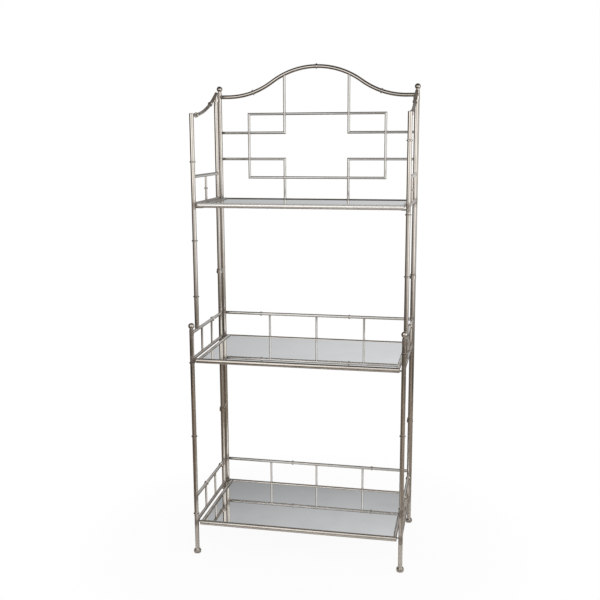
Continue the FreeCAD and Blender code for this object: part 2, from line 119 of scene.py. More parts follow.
class RackFinish(bpy.types.PropertyGroup):
    """Colours and polish of the metal and the panes."""

    silver: bpy.props.FloatVectorProperty(
        name="Silver leaf", description="Colour of the polished leaf", subtype="COLOR", size=3, min=0, max=1,
        default=(0.70, 0.662, 0.622))
    # Painted highlight: a paler leaf colour that stands for the light falling on the upper shelf's front tube
    bright: bpy.props.FloatVectorProperty(
        name="Pale leaf", description="Colour of the paler leaf on the upper shelf's front", subtype="COLOR",
        size=3, min=0, max=1, default=(0.88, 0.86, 0.835))
    fret: bpy.props.FloatVectorProperty(
        name="Fret leaf", description="Colour of the leaf on the fret and the galleries", subtype="COLOR",
        size=3, min=0, max=1, default=(0.70, 0.688, 0.676))
    # Tarnish colour: dulled patches of leaf, and the painted shade on the shelves' side tubes and the curved
    # side rails
    tarnish_and_shade: bpy.props.FloatVectorProperty(
        name="Tarnish", description="Colour of the dulled patches of leaf", subtype="COLOR", size=3, min=0,
        max=1, default=(0.49, 0.44, 0.385))
    # Brown wash colour: glaze in the joints, and the painted shade on the curved side rails
    wash_and_shade: bpy.props.FloatVectorProperty(
        name="Brown wash", description="Colour of the antique glaze in the joints", subtype="COLOR", size=3,
        min=0, max=1, default=(0.105, 0.066, 0.038))
    polish: bpy.props.FloatProperty(
        name="Roughness", description="Roughness of the polished leaf", subtype="FACTOR", min=0, max=1,
        default=0.13)
    joint_reach: bpy.props.FloatProperty(
        name="Wash reach", description="How far the brown wash spreads from a joint", unit="LENGTH", min=0.0,
        default=0.022)
    # Painted shade: how far a heavy brown darkening spreads down the curved side rails from their top
    scroll_shade_reach: bpy.props.FloatProperty(
        name="Scroll wash reach", description="How far the brown wash spreads down the curved side rails",
        unit="LENGTH", min=0.0, default=0.12)
    pane: bpy.props.FloatVectorProperty(
        name="Pane", description="Tint of the mirror panes", subtype="COLOR", size=3, min=0, max=1,
        default=(0.86, 0.865, 0.865))
    backing: bpy.props.FloatVectorProperty(
        name="Backing paint", description="Colour of the paint under the panes", subtype="COLOR", size=3,
        min=0, max=1, default=(0.34, 0.275, 0.205))
    edge: bpy.props.FloatVectorProperty(
        name="Ground edge", description="Colour of the ground edge of a pane", subtype="COLOR", size=3,
        min=0, max=1, default=(0.80, 0.82, 0.81))
    steel: bpy.props.FloatVectorProperty(
        name="Bare steel", description="Colour of the pivot pins", subtype="COLOR", size=3, min=0, max=1,
        default=(0.52, 0.51, 0.49))


class RackBraze(bpy.types.PropertyGroup):
    """Fillets of braze where the rods meet."""

    bead: bpy.props.FloatProperty(
        name="Bead", description="Radius of a fillet's section", unit="LENGTH", min=0.0002, max=0.004,
        default=0.0012)
    steps: bpy.props.IntProperty(
        name="Steps", description="Points round a fillet", min=12, max=48, default=24)


class RackStage(bpy.types.PropertyGroup):
    """Studio and camera."""

    floor: bpy.props.FloatVectorProperty(
        name="Floor", description="Colour of the floor under the rack", subtype="COLOR", size=3, min=0, max=1,
        default=(0.62, 0.605, 0.58))
    far_floor: bpy.props.FloatVectorProperty(
        name="Far floor", description="Colour of the floor away from the rack, at the left", subtype="COLOR",
        size=3, min=0, max=1, default=(0.17, 0.135, 0.105))
    right_floor: bpy.props.FloatVectorProperty(
        name="Right floor", description="Colour of the floor away from the rack, at the right",
        subtype="COLOR", size=3, min=0, max=1, default=(0.30, 0.26, 0.22))
    key_power: bpy.props.FloatProperty(
        name="Key lamp", description="Power of the front lamp", unit="POWER", min=0, default=75.0)
    fill_power: bpy.props.FloatProperty(
        name="Fill lamp", description="Power of the lamp at the right", unit="POWER", min=0, default=30.0)
    camera_at: bpy.props.FloatVectorProperty(
        name="Camera", description="Place of the camera", subtype="TRANSLATION", unit="LENGTH", size=3,
        default=(0.5987, -3.0713, 1.5350))
    camera_turn: bpy.props.FloatVectorProperty(
        name="Camera turn", description="Pitch, roll and yaw of the camera", subtype="EULER",
        unit="ROTATION", size=3,
        default=(math.radians(79.3084), math.radians(-0.2265), math.radians(11.4726)))
    lens: bpy.props.FloatProperty(
        name="Lens", description="Focal length", unit="CAMERA", min=10, default=51.3)


class Nodes:
    """Adds nodes to one shader tree."""

    def __init__(self, tree):
        self.tree = tree

    def feed(self, socket, value):
        """Link an output to a socket, or set the socket's value."""
        if isinstance(value, bpy.types.NodeSocket):
            self.tree.links.new(value, socket)
        elif value is not None:
            socket.default_value = value

    def add(self, kind, settings=None, inputs=None):
        """Add a node with its settings and inputs."""
        node = self.tree.nodes.new(kind)
        for key, value in (settings or {}).items():
            setattr(node, key, value)
        for key, value in (inputs or {}).items():
            self.feed(node.inputs[key], value)
        return node

    def math(self, operation, first, second=None, third=None):
        """Value of a math node."""
        inputs = {0: first, 1: second, 2: third}
        return self.add("ShaderNodeMath", {"operation": operation}, inputs).outputs[0]

    def product(self, first, *others):
        """Product of values."""
        for other in others:
            first = self.math("MULTIPLY", first, other)
        return first

    def fade(self, value, start, end, low=0.0, high=1.0):
        """Smooth step from low to high as value goes from start to end."""
        inputs = {"Value": value, "From Min": start, "From Max": end, "To Min": low, "To Max": high}
        return self.add("ShaderNodeMapRange", {"interpolation_type": "SMOOTHSTEP"}, inputs).outputs[0]

    def mix(self, share, first, second):
        """Colour between two colours, which are sockets 6 and 7 of the node."""
        node = self.add("ShaderNodeMix", {"data_type": "RGBA"}, {0: share})
        self.feed(node.inputs[6], first)
        self.feed(node.inputs[7], second)
        return node.outputs[2]

    def noise(self, vector, scale, detail, roughness):
        """Value of a noise texture."""
        inputs = {"Vector": vector, "Scale": scale, "Detail": detail, "Roughness": roughness}
        return self.add("ShaderNodeTexNoise", None, inputs).outputs["Fac"]

    def split(self, vector):
        """X, Y and Z of a vector."""
        return self.add("ShaderNodeSeparateXYZ", None, {0: vector}).outputs

    def bump(self, height, strength, distance):
        """Normal with bumps of the given height."""
        inputs = {"Strength": strength, "Distance": distance, "Height": height}
        return self.add("ShaderNodeBump", None, inputs).outputs[0]

    def glow(self, colour, strength):
        """Shader that gives light."""
        return self.add("ShaderNodeEmission", None, {"Color": colour, "Strength": strength}).outputs[0]

    def see_through(self):
        """Shader that lets everything through."""
        return self.add("ShaderNodeBsdfTransparent").outputs[0]

    def blend(self, share, first, second):
        """Shader between two shaders."""
        return self.add("ShaderNodeMixShader", None, {0: share, 1: first, 2: second}).outputs[0]

    def surface(self, kind, shader):
        """Make a shader the surface of a material or the world."""
        output = self.add("ShaderNodeOutput" + kind)
        self.feed(output.inputs["Surface"], shader)


def opaque(colour):
    """Colour with full alpha."""
    return tuple(colour) + (1.0,)


def new_group(name, inputs, outputs):
    """Shader node group with named sockets. Returns the tree, its nodes, and its input and output nodes."""
    tree = bpy.data.node_groups.new(name, "ShaderNodeTree")
    for label, kind, default in inputs:
        socket = tree.interface.new_socket(label, in_out="INPUT", socket_type="NodeSocket" + kind)
        if default is not None:
            socket.default_value = default
    for label in outputs:
        tree.interface.new_socket(label, in_out="OUTPUT", socket_type="NodeSocketFloat")
    nodes = Nodes(tree)
    return tree, nodes, nodes.add("NodeGroupInput").outputs, nodes.add("NodeGroupOutput").inputs


# Silver leaf: the parts of the noise that show as clouds and flecks
CLOUD_RANGE = (0.36, 0.70)
FLECK_RANGE = (0.50, 0.78)


def leaf_group():
    """Tone of silver leaf: broad clouds, small flecks and fine brushing."""
    tree, nodes, given, out = new_group(
        "silver_leaf",
        [("Vector", "Vector", None), ("Brushing", "Vector", (1.0, 1.0, 1.0)), ("Cloud Scale", "Float", 16.0),
         ("Fleck Scale", "Float", 210.0)],
        ["Cloud", "Fleck", "Streak"])
    cloud = nodes.noise(given["Vector"], given["Cloud Scale"], detail=4.0, roughness=0.6)
    nodes.feed(out["Cloud"], nodes.fade(cloud, *CLOUD_RANGE))
    fleck = nodes.noise(given["Vector"], given["Fleck Scale"], detail=3.0, roughness=0.65)
    nodes.feed(out["Fleck"], nodes.fade(fleck, *FLECK_RANGE))
    stretch = nodes.add("ShaderNodeVectorMath", {"operation": "MULTIPLY"},
                        {0: given["Vector"], 1: given["Brushing"]}).outputs[0]
    streak = nodes.noise(stretch, scale=1.0, detail=3.0, roughness=0.6)
    nodes.feed(out["Streak"], streak)
    return tree


# Antique wash, and painted shade on the curved side rails: levels of joints that it knows, its ragged edge,
# and thin spots of it elsewhere
LEVEL_NAMES = ["Level " + str(number) for number in range(1, 6)]
WASH_EDGE = (1.0, 0.25)  # in reaches from the joint
RAGGED_SCALE = 95.0
RAGGED_DEPTH = 1.6
SPOT_SCALE = 55.0
SPOT_RANGE = (0.60, 0.80, 0.0, 0.2)


def wash_and_shade_group():
    """Brown glaze that stays near the joints of posts, rails and shelves; with a long reach it also paints
    shade down the curved side rails.
    """
    tree, nodes, given, out = new_group(
        "antique_wash_and_shade",
        [("Vector", "Vector", None), ("Reach", "Float", 0.02), ("Post X", "Float", HALF)]
        + [(label, "Float", 0.0) for label in LEVEL_NAMES],
        ["Wash"])
    place = nodes.split(given["Vector"])
    gap = None
    for label in LEVEL_NAMES:
        offset = nodes.math("ABSOLUTE", nodes.math("SUBTRACT", place["Z"], given[label]))
        gap = offset if gap is None else nodes.math("MINIMUM", gap, offset)
    side = nodes.math("SUBTRACT", nodes.math("ABSOLUTE", place["X"]), given["Post X"])
    side = nodes.math("ABSOLUTE", side)
    away = nodes.math("DIVIDE", nodes.math("MAXIMUM", gap, side), given["Reach"])
    ragged = nodes.noise(given["Vector"], RAGGED_SCALE, detail=3.0, roughness=0.6)
    ragged = nodes.math("MULTIPLY_ADD", ragged, RAGGED_DEPTH, -RAGGED_DEPTH / 2)
    near = nodes.fade(nodes.math("ADD", away, ragged), *WASH_EDGE)
    spots = nodes.noise(given["Vector"], SPOT_SCALE, detail=4.0, roughness=0.7)
    nodes.feed(out["Wash"], nodes.math("MAXIMUM", near, nodes.fade(spots, *SPOT_RANGE)))
    return tree


def new_material(name):
    """Empty material. Returns it, its nodes, its shader and its coordinates."""
    material = bpy.data.materials.new(name)
    material.use_nodes = True
    nodes = Nodes(material.node_tree)
    shader = material.node_tree.nodes["Principled BSDF"]
    coordinates = nodes.add("ShaderNodeTexCoord").outputs
    return material, nodes, shader, coordinates


def place_group(nodes, tree, inputs):
    """Put a node group in a material."""
    node = nodes.add("ShaderNodeGroup", {"node_tree": tree})
    for key, value in inputs.items():
        nodes.feed(node.inputs[key], value)
    return node.outputs


def group(name, build):
    """The node group of that name, built the first time it is asked for."""
    return bpy.data.node_groups.get(name) or build()


# Silver finish: what flecks, tarnish, glaze and brushing do to the leaf; raised tarnish and glaze also paint
# shade on the shelves' side tubes and the curved side rails
FLECK_TARNISH = 0.3
GLAZE_COVER = 0.8
GLAZE_METAL_LOSS = 0.35
STREAK_ROUGHNESS = 0.05
TARNISH_ROUGHNESS = 0.06
GLAZE_ROUGHNESS = 0.18
FLECK_HEIGHT = 0.5
LEAF_BUMP = 0.012
LEAF_DEPTH = 0.0003


def silver_material(name, finish, brushing, levels, wash_and_shade=0.8, tarnish_and_shade=0.35, polish=0.0, silver=None,
                    metal=1.0, reach=None):
    """Antique silver: leaf with tarnish, brown wash at the given levels, and brushing along the rod; raised
    tarnish and wash also stand for painted shade on some rails.
    """
    material, nodes, shader, coordinates = new_material(name)
    at = coordinates["Object"]
    leaf = place_group(nodes, group("silver_leaf", leaf_group), {"Vector": at, "Brushing": brushing})
    inputs = {"Vector": at, "Reach": reach or finish.joint_reach}
    inputs.update(zip(LEVEL_NAMES, levels))
    glaze_and_shade = place_group(nodes, group("antique_wash_and_shade", wash_and_shade_group), inputs)["Wash"]
    glaze_and_shade = nodes.math("MULTIPLY", glaze_and_shade, wash_and_shade)
    dull = nodes.math("MULTIPLY_ADD", leaf["Fleck"], FLECK_TARNISH, leaf["Cloud"])
    dull = nodes.math("MULTIPLY", dull, tarnish_and_shade)
    colour = nodes.mix(dull, opaque(silver or finish.silver), opaque(finish.tarnish_and_shade))
    colour = nodes.mix(nodes.math("MULTIPLY", glaze_and_shade, GLAZE_COVER), colour, opaque(finish.wash_and_shade))
    nodes.feed(shader.inputs["Base Color"], colour)
    metallic = nodes.math("MULTIPLY_ADD", glaze_and_shade, -GLAZE_METAL_LOSS * metal, metal)
    nodes.feed(shader.inputs["Metallic"], metallic)
    smoothest = finish.polish + polish - STREAK_ROUGHNESS / 2
    rough = nodes.math("MULTIPLY_ADD", leaf["Streak"], STREAK_ROUGHNESS, smoothest)
    rough = nodes.math("MULTIPLY_ADD", dull, TARNISH_ROUGHNESS, rough)
    rough = nodes.math("MULTIPLY_ADD", glaze_and_shade, GLAZE_ROUGHNESS, rough)
    nodes.feed(shader.inputs["Roughness"], rough)
    grain = nodes.math("MULTIPLY_ADD", leaf["Fleck"], FLECK_HEIGHT, leaf["Streak"])
    nodes.feed(shader.inputs["Normal"], nodes.bump(grain, LEAF_BUMP, LEAF_DEPTH))
    return material


def dress(names, material):
    """Give CAD nodes a material."""
    for name in names:
        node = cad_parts[name]
        node.data.materials.clear()
        node.data.materials.append(material)


SHELF_LEVELS = [SHELF_Z[name] for name in SHELVES]


class RackUprights(bpy.types.Operator):
    """Silver finish on the posts and the side panels' spindles, brushed along their height"""

    bl_idname = "rack.uprights"
    bl_label = "Posts and side spindles"

    def execute(self, context):
        finish = context.scene.rack_finish
        levels = SHELF_LEVELS + [SHELF_Z[name] + SIDE_GALLERY_RISE for name in reversed(GALLERIES)]
        dress(UPRIGHT_NODES, silver_material("silver_uprights", finish, BRUSHED_UP, levels))
        return {"FINISHED"}


class RackCrossRails(bpy.types.Operator):
    """Silver finish on the arch, back rails, shelf fronts and ledges, brushed along their length; the upper
    shelf's front is a paler, less metallic copy of the leaf with a painted highlight
    """

    bl_idname = "rack.cross_rails"
    bl_label = "Arch, back rails and shelf fronts"

    def execute(self, context):
        finish = context.scene.rack_finish
        levels = SHELF_LEVELS + [BACK_GALLERY_Z["middle"], ARCH_END_Z]
        dress(CROSS_NODES, silver_material("silver_cross_rails", finish, BRUSHED_ACROSS, levels))
        # Paler, less metallic copy of the leaf on the upper shelf's front tube: a painted highlight
        bright = silver_material("silver_painted_highlight_front", finish, BRUSHED_ACROSS, levels, wash_and_shade=0.2,
                                 tarnish_and_shade=0.06, polish=0.12, silver=finish.bright, metal=0.7)
        dress(PAINTED_HIGHLIGHT_NODES, bright)
        return {"FINISHED"}


class RackSideRails(bpy.types.Operator):
    """Silver finish on the side panels' rails and the shelves' side tubes, brushed along their depth; the
    shelves' side tubes and the curved side rails are darkened with painted shade
    """

    bl_idname = "rack.side_rails"
    bl_label = "Side rails and shelf sides"

    def execute(self, context):
        finish = context.scene.rack_finish
        rails = silver_material("silver_side_rails", finish, BRUSHED_BACK, SHELF_LEVELS, wash_and_shade=0.5,
                                tarnish_and_shade=0.4)
        dress(SIDE_NODES, rails)
        # Shelves' side tubes: tarnish raised until it darkens the whole tube, painted shade
        painted_shade_tubes = silver_material("silver_shelf_sides_painted_shade", finish, BRUSHED_BACK, SHELF_LEVELS, wash_and_shade=0.5,
                                tarnish_and_shade=1.5)
        dress(SHELF_SIDE_NODES, painted_shade_tubes)
        # Curved side rails: full wash and heavy tarnish spreading down from their top, painted shade
        scroll_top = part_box("left_scroll_rail")[1].z
        painted_shade_scroll = silver_material("silver_scroll_rails_painted_shade", finish, BRUSHED_BACK, [scroll_top], wash_and_shade=1.0,
                                 tarnish_and_shade=1.8, reach=finish.scroll_shade_reach)
        dress(SCROLL_NODES, painted_shade_scroll)
        return {"FINISHED"}


class RackFret(bpy.types.Operator):
    """Silver finish on the fret and the galleries of the back panel"""

    bl_idname = "rack.fret"
    bl_label = "Fret and back galleries"

    def execute(self, context):
        finish = context.scene.rack_finish
        material = silver_material("silver_fret", finish, FRET_BRUSHING, [], wash_and_shade=0.35, tarnish_and_shade=0.25,
                                   silver=finish.fret)
        dress(FRET_NODES, material)
        return {"FINISHED"}


class RackTurnings(bpy.types.Operator):
    """Silver finish on the finials, feet, rings, shelf rests and hinge fittings"""

    bl_idname = "rack.turnings"
    bl_label = "Finials, feet, rings, rests and hinges"

    def execute(self, context):
        finish = context.scene.rack_finish
        material = silver_material("silver_turnings", finish, TURNED_BRUSHING, [], wash_and_shade=0.5, polish=-0.03)
        dress(TURNED_NODES, material)
        return {"FINISHED"}


# Pivot pins
PIN_SHADE = 0.45  # tone of the dark patches
PIN_ROUGHNESS = 0.2
PIN_STREAK_ROUGHNESS = 0.3
PIN_BUMP = 0.2
PIN_DEPTH = 0.0002


class RackPins(bpy.types.Operator):
    """Bare steel on the pivot pins"""

    bl_idname = "rack.pins"
    bl_label = "Pivot pins"

    def execute(self, context):
        finish = context.scene.rack_finish
        material, nodes, shader, coordinates = new_material("bare_steel_pins")
        leaf = place_group(nodes, group("silver_leaf", leaf_group),
                           {"Vector": coordinates["Object"], "Brushing": PIN_BRUSHING})
        dark = tuple(PIN_SHADE * part for part in finish.steel)
        nodes.feed(shader.inputs["Base Color"], nodes.mix(leaf["Cloud"], opaque(finish.steel), opaque(dark)))
        shader.inputs["Metallic"].default_value = 1.0
        rough = nodes.math("MULTIPLY_ADD", leaf["Streak"], PIN_STREAK_ROUGHNESS, PIN_ROUGHNESS)
        nodes.feed(shader.inputs["Roughness"], rough)
        nodes.feed(shader.inputs["Normal"], nodes.bump(leaf["Streak"], PIN_BUMP, PIN_DEPTH))
        dress(PIN_NODES, material)
        return {"FINISHED"}


# Mirror panes: how far up a face looks where it is underside or ground edge, then haze, dust and roughness
UNDERSIDE = (-0.2, -0.6)
GROUND_EDGE = (0.95, 0.80)
HAZE_SCALE = 7.0
HAZE_RANGE = (0.42, 0.75)
HAZE_SHADE = 0.93
DUST_SCALE = 900.0
DUST_RANGE = (0.62, 0.80)
PANE_ROUGHNESS = 0.015
DUST_ROUGHNESS = 0.06
EDGE_ROUGHNESS = 0.4
BACKING_ROUGHNESS = 0.5


class RackMirrors(bpy.types.Operator):
    """Mirror panes: silvered glass above, painted backing below"""

    bl_idname = "rack.mirrors"
    bl_label = "Mirror panes"

    def execute(self, context):
        finish = context.scene.rack_finish
        material, nodes, shader, coordinates = new_material("mirror_panes")
        at = coordinates["Object"]
        facing = nodes.split(coordinates["Normal"])["Z"]
        under = nodes.fade(facing, *UNDERSIDE)
        ground = nodes.math("SUBTRACT", nodes.fade(facing, *GROUND_EDGE), under)
        haze = nodes.fade(nodes.noise(at, HAZE_SCALE, detail=5.0, roughness=0.6), *HAZE_RANGE)
        dust = nodes.fade(nodes.noise(at, DUST_SCALE, detail=2.0, roughness=0.6), *DUST_RANGE)
        dim = tuple(HAZE_SHADE * part for part in finish.pane)
        pane = nodes.mix(haze, opaque(finish.pane), opaque(dim))
        pane = nodes.mix(ground, pane, opaque(finish.edge))
        nodes.feed(shader.inputs["Base Color"], nodes.mix(under, pane, opaque(finish.backing)))
        silvered = nodes.math("SUBTRACT", nodes.math("SUBTRACT", 1.0, under), ground)
        nodes.feed(shader.inputs["Metallic"], silvered)
        rough = nodes.math("MULTIPLY_ADD", nodes.product(haze, dust), DUST_ROUGHNESS, PANE_ROUGHNESS)
        rough = nodes.math("MULTIPLY_ADD", ground, EDGE_ROUGHNESS, rough)
        rough = nodes.math("MULTIPLY_ADD", under, BACKING_ROUGHNESS, rough)
        nodes.feed(shader.inputs["Roughness"], rough)
        dress(MIRROR_NODES, material)
        return {"FINISHED"}


def clear_selection():
    """Leave edit mode and deselect everything."""
    if bpy.context.object and bpy.context.object.mode != "OBJECT":
        bpy.ops.object.mode_set(mode="OBJECT")
    bpy.ops.object.select_all(action="DESELECT")


# Fillets
BEAD_SIDES = 8
BEAD_STANDOFF = 0.25  # rod to the bead's middle, in bead radii
SAME_STEP = 0.999  # cosine above which two points are at the same step


def model_fillet(name, braze, rod_r, main_r):
    """Fillet round a rod that meets a thicker one: a ring bent to the saddle.

    The rod leaves along +Z from the thicker rod's middle line, which lies along X."""
    ring_r = rod_r + BEAD_STANDOFF * braze.bead
    clear_selection()
    bpy.ops.mesh.primitive_torus_add(major_segments=braze.steps, minor_segments=BEAD_SIDES,
                                     major_radius=ring_r, minor_radius=braze.bead)
    fillet = bpy.context.object
    fillet.name = name
    for step in range(braze.steps):
        bpy.ops.object.mode_set(mode="EDIT")
        bpy.ops.mesh.select_all(action="DESELECT")
        bpy.ops.object.mode_set(mode="OBJECT")
        turn = 2 * math.pi * step / braze.steps
        wanted = Vector((math.cos(turn), math.sin(turn)))
        for vertex in fillet.data.vertices:
            vertex.select = vertex.co.xy.normalized().dot(wanted) > SAME_STEP
        rise = math.sqrt(max(main_r ** 2 - (ring_r * math.sin(turn)) ** 2, 0.0))
        bpy.ops.object.mode_set(mode="EDIT")
        bpy.ops.transform.translate(value=(0, 0, rise))
        bpy.ops.object.mode_set(mode="OBJECT")
    bpy.ops.object.shade_smooth()
    return fillet


# Directions of the rods at a joint
ACROSS = Vector((1, 0, 0))
BACKWARD = Vector((0, 1, 0))
UP = Vector((0, 0, 1))


def back_joints():
    """Joints of the back panel. Each has a point on the thicker rod, that rod's direction, the thinner rod's
    direction, and the radii of the thinner and the thicker rod."""
    joints = []
    for side in SIDES.values():
        inward = -side * ACROSS
        for name in SHELVES:
            at = Vector((side * HALF, BACK_Y, BACK_RAIL_Z[name]))
            joints.append((at, UP, inward, BACK_RAIL_R, POST_R))
        for level in BACK_GALLERY_Z.values():
            joints.append((Vector((side * HALF, BACK_Y, level)), UP, inward, RAIL_R, POST_R))
        joints.append((Vector((side * HALF, BACK_Y, ARCH_END_Z)), UP, inward, BACK_RAIL_R, POST_R))
    pitch = HALF / 2
    for name, level in BACK_GALLERY_Z.items():
        for step in (-1, 0, 1):
            at = Vector((step * pitch, BACK_Y, BACK_RAIL_Z[name]))
            joints.append((at, ACROSS, UP, SPINDLE_R, BACK_RAIL_R))
            joints.append((Vector((step * pitch, BACK_Y, level)), ACROSS, -UP, SPINDLE_R, RAIL_R))
    frame_low, frame_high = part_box("fret_rectangle")
    for name, side in SIDES.items():
        inward = -side * ACROSS
        frame_x = side * (frame_high.x - FRET_FRAME_R)
        high_low, high_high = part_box(name + "_upper_fret")
        low_low, low_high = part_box(name + "_lower_fret")
        upright_x = side * (min(abs(high_low.x), abs(high_high.x)) + FRET_R)
        for level in (high_low.z + FRET_R, low_high.z - FRET_R):
            joints.append((Vector((side * HALF, BACK_Y, level)), UP, inward, FRET_R, POST_R))
            for way in (-1, 1):
                joints.append((Vector((frame_x, BACK_Y, level)), ACROSS, way * UP, FRET_FRAME_R, FRET_R))
        at = Vector((upright_x, BACK_Y, BACK_RAIL_Z["upper"]))
        joints.append((at, ACROSS, UP, FRET_R, BACK_RAIL_R))
        for level in (frame_low.z + FRET_FRAME_R, frame_high.z - FRET_FRAME_R):
            for way in (-1, 1):
                joints.append((Vector((upright_x, BACK_Y, level)), UP, way * ACROSS, FRET_FRAME_R, FRET_R))
    return joints


def side_joints(name, side):
    """Joints of one side panel, in the same form."""
    joints = []
    for shelf in SHELVES:
        front = FRONT_END[shelf]
        low = SHELF_Z[shelf] + SIDE_RAIL_RISE
        high = SHELF_Z[shelf] + SIDE_GALLERY_RISE
        for level in (low, high):
            joints.append((Vector((side * HALF, front, level)), UP, BACKWARD, RAIL_R, POST_R))
            joints.append((Vector((side * HALF, REAR_Y, level)), UP, -BACKWARD, RAIL_R, POST_R))
        count = 1 if shelf == "upper" else 2
        for i in range(count):
            spindle_y = REAR_Y + (front - REAR_Y) * (i + 1) / (count + 1)
            joints.append((Vector((side * HALF, spindle_y, low)), BACKWARD, UP, SPINDLE_R, RAIL_R))
            joints.append((Vector((side * HALF, spindle_y, high)), BACKWARD, -UP, SPINDLE_R, RAIL_R))
        joints.append((Vector((side * HALF, front + PEG_SETBACK, low)), BACKWARD, -UP, PEG_R, RAIL_R))
    scroll_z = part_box(name + "_scroll_rail")[0].z + RAIL_R
    joints.append((Vector((side * HALF, UPPER_FRONT_Y, scroll_z)), UP, BACKWARD, RAIL_R, POST_R))
    return joints


class RackBrazedJoints(bpy.types.Operator):
    """Fillets of braze where rods meet posts, rails and each other"""

    bl_idname = "rack.brazed_joints"
    bl_label = "Brazed joints"

    def execute(self, context):
        braze = context.scene.rack_braze
        finish = context.scene.rack_finish
        material = silver_material("silver_braze", finish, BRAZE_BRUSHING, [], wash_and_shade=0.8, tarnish_and_shade=0.7,
                                   polish=0.08)
        bodies = {"back_panel": back_joints()}
        for name, side in SIDES.items():
            bodies[name + "_side"] = side_joints(name, side)
        patterns = {}
        for body, joints in bodies.items():
            copies = []
            for at, along, out, rod_r, main_r in joints:
                key = (rod_r, main_r)
                if key not in patterns:
                    patterns[key] = model_fillet("fillet_pattern", braze, rod_r, main_r)
                mesh = patterns[key].data.copy()
                across = out.cross(along)
                turn = Matrix((along, across, out)).transposed().to_4x4()
                mesh.transform(Matrix.Translation(at) @ turn)
                copy = bpy.data.objects.new(body + "_fillet", mesh)
                context.collection.objects.link(copy)
                copies.append(copy)
            clear_selection()
            for copy in copies:
                copy.select_set(True)
            context.view_layer.objects.active = copies[0]
            bpy.ops.object.join()
            piece = context.view_layer.objects.active
            piece.name = body + "_brazing"
            piece.data.materials.clear()
            piece.data.materials.append(material)
            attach(piece, body)
        clear_selection()
        for pattern in patterns.values():
            pattern.select_set(True)
        bpy.ops.object.delete()
        return {"FINISHED"}


# World: tones that reflections show low, high and behind the rack, and the even light
ROOM_LOW = (0.20, 0.18, 0.16, 1.0)
ROOM_HIGH = (0.05, 0.044, 0.038, 1.0)
ROOM_BEHIND = (0.40, 0.405, 0.41, 1.0)
ROOM_RISE = (0.3, 0.8)
ROOM_BEHIND_START = (0.12, 0.40)
EVEN_LIGHT = (0.7, 0.7, 0.7, 1.0)


def studio_world():
    """World: white behind the rack, a dim ceiling for reflections, and an even light."""
    world = bpy.data.worlds.new("studio")
    world.use_nodes = True
    bpy.context.scene.world = world
    world.node_tree.nodes.clear()
    nodes = Nodes(world.node_tree)
    ray = nodes.add("ShaderNodeLightPath").outputs
    toward = nodes.split(nodes.add("ShaderNodeTexCoord").outputs["Generated"])
    room = nodes.mix(nodes.fade(toward["Z"], *ROOM_RISE), ROOM_LOW, ROOM_HIGH)
    room = nodes.mix(nodes.fade(toward["Y"], *ROOM_BEHIND_START), room, ROOM_BEHIND)
    shown = nodes.math("MAXIMUM", ray["Is Camera Ray"], ray["Is Transmission Ray"])
    light = nodes.mix(ray["Is Glossy Ray"], EVEN_LIGHT, room)
    colour = nodes.mix(shown, light, WHITE)
    background = nodes.add("ShaderNodeBackground", None, {"Color": colour, "Strength": 1.0})
    nodes.surface("World", background.outputs[0])


def stage_material(name):
    """Empty material for the studio. Returns it, its nodes, its kinds of ray and its object coordinates."""
    material = bpy.data.materials.new(name)
    material.use_nodes = True
    material.node_tree.nodes.clear()
    nodes = Nodes(material.node_tree)
    ray = nodes.add("ShaderNodeLightPath").outputs
    at = nodes.add("ShaderNodeTexCoord").outputs["Object"]
    return material, nodes, ray, at


# Floor: where its tone changes, in metres across it and from its middle
FLOOR_SIZE = 8.0
FLOOR_DROP = 0.0005  # below the feet
FLOOR_LEFT_TO_RIGHT = (-0.5, 0.6)
FLOOR_NEAR_TO_FAR = (0.50, 0.85)
FLOOR_WHITENESS = (0.45, 1.0, 0.95, 1.0)


def floor_material(stage):
    """Pale floor: white to the camera with the rack's shadow, darker away from it, and clear from below."""
    material, nodes, ray, at = stage_material("studio_floor")
    away = nodes.add("ShaderNodeVectorMath", {"operation": "LENGTH"}, {0: at}).outputs["Value"]
    right = nodes.fade(nodes.split(at)["X"], *FLOOR_LEFT_TO_RIGHT)
    outer = nodes.mix(right, opaque(stage.far_floor), opaque(stage.right_floor))
    tone = nodes.mix(nodes.fade(away, *FLOOR_NEAR_TO_FAR), opaque(stage.floor), outer)
    matt = nodes.add("ShaderNodeBsdfDiffuse", None, {"Color": tone}).outputs[0]
    shown = nodes.math("MAXIMUM", ray["Is Camera Ray"], ray["Is Transmission Ray"])
    share = nodes.product(shown, nodes.fade(away, *FLOOR_WHITENESS))
    surface = nodes.blend(share, matt, nodes.glow(WHITE, 1.0))
    below = nodes.add("ShaderNodeNewGeometry").outputs["Backfacing"]
    nodes.surface("Material", nodes.blend(below, surface, nodes.see_through()))
    return material


# Studio wall. A tone's row says where it starts and ends, up the wall in metres or round it in radians from
# the front, and then its first and last value where they aren't 0 and 1
WALL_R = 2.35
WALL_H = 3.6
WALL_AT = (0, -0.6, 1.8)
WALL_SEGMENTS = 96
FRONT_RISE = (0.0, 0.9, 0.12, 0.86)
FRONT_TOP = (2.6, 1.9, 0.10, 1.0)
FRONT_LEFT = (-1.15, 0.15, 0.14, 1.0)
FRONT_RIGHT = (2.1, 1.6, 0.15, 1.0)
MIDDLE_LEFT = (-0.25, 0.0)
MIDDLE_RIGHT = (0.75, 0.45)
MIDDLE_TONE = 0.80
BAND_FOOT = (1.05, 1.35)
BAND_TOP = (2.4, 1.9)
BAND_LEFT = (-0.85, -0.5)
BAND_RIGHT = (0.05, -0.25, 0.08, 1.0)
BAND_STRENGTH = 1.2
STRIP_FOOT = (0.25, 0.9)
STRIP_LEFT = (0.65, 0.95)
STRIP_RIGHT = (1.75, 1.45)
STRIP_STRENGTH = 0.55
TINT_RANGE = (0.08, 0.7)  # strengths from the warm tint to the pale one
WARM_TINT = (1.0, 0.84, 0.68, 1.0)
